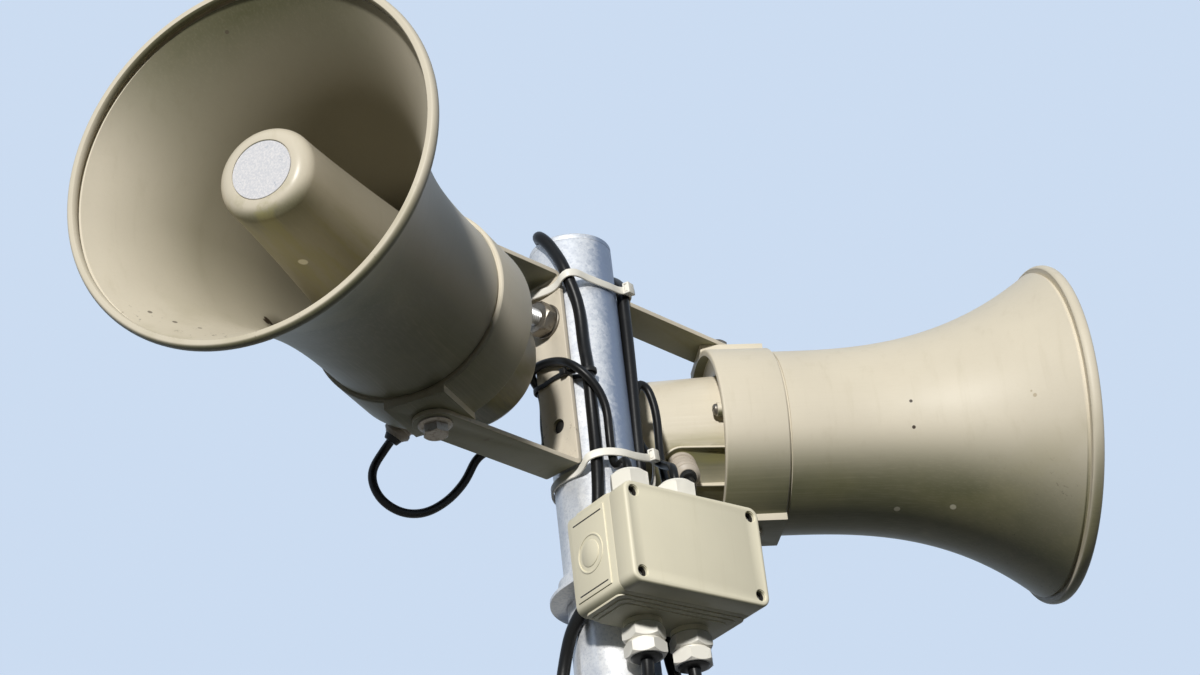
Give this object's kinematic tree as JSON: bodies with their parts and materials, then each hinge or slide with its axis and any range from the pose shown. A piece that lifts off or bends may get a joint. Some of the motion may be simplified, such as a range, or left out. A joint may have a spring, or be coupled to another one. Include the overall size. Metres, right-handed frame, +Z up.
{
  "type": "horn loudspeaker mast",
  "caption": "Tube mast on a bolted base plate carrying re-entrant loudspeaker horns that swivel in U-shaped yokes, with a junction box, glands, leads and cable ties at the head.",
  "frame": {"origin": "on the mast's axis, on the underside of the base plate, where it stands on its foundation", "axes": "+Z up along the mast; +X towards the right horn's yoke and -X towards the left horn's yoke; -Y towards the junction box, which is the front"},
  "size_m": [0.7018, 0.3075, 2.5045],
  "materials": {
    "mast_zinc": "hot-dip galvanised, satin",
    "yoke_paint": "beige powder coat, weathered",
    "fixings": "zinc plated",
    "horn_shell": "beige moulded shell, satin",
    "box_plastic": "light grey-beige moulding, matt",
    "white_plastic": "white nylon",
    "black_plastic": "black nylon",
    "black_rubber": "black cable sheath"
  },
  "bodies": {
    "mast": {"base_plate": "mast_zinc", "base_gussets": "mast_zinc", "mast_tube": "mast_zinc", "tube_cap": "mast_zinc", "left_yoke": "yoke_paint", "right_yoke": "yoke_paint", "through_bolt": "fixings", "through_nut": "fixings", "junction_box": "box_plastic", "box_lid": "box_plastic", "lid_screws": "fixings", "top_glands": "white_plastic", "bottom_glands": "white_plastic", "gland_seals": "black_rubber", "box_bracket": "fixings", "bracket_screws": "fixings", "upper_tie": "white_plastic", "lower_tie": "white_plastic", "black_tie": "black_plastic", "main_cable": "black_rubber", "left_lead": "black_rubber", "right_lead": "black_rubber"},
    "left_horn": {"left_bell": "horn_shell", "left_rim": "horn_shell", "left_collar": "horn_shell", "left_bullet": "horn_shell", "left_disc": "white_plastic", "left_throat": "horn_shell", "left_can": "horn_shell", "left_gland": "black_plastic", "left_collar_screws": "fixings", "left_pivot_bolts": "fixings"},
    "right_horn": {"right_bell": "horn_shell", "right_rim": "horn_shell", "right_collar": "horn_shell", "right_bullet": "horn_shell", "right_disc": "white_plastic", "right_throat": "horn_shell", "right_can": "horn_shell", "right_gland": "black_plastic", "right_collar_screws": "fixings", "right_pivot_bolts": "fixings"}
  },
  "joints": [
    {"name": "left_horn_swivel", "type": "hinge", "parent": "mast", "child": "left_horn", "pos_m": [-0.12715, 0, 2.4], "axis": [0, 0, 1], "range_deg": [-60, 40], "deforming": ["left_lead"]},
    {"name": "right_horn_swivel", "type": "hinge", "parent": "mast", "child": "right_horn", "pos_m": [0.12715, 0, 2.4], "axis": [0, 0, 1], "range_deg": [-5, 85], "deforming": ["right_lead"]}
  ]
}
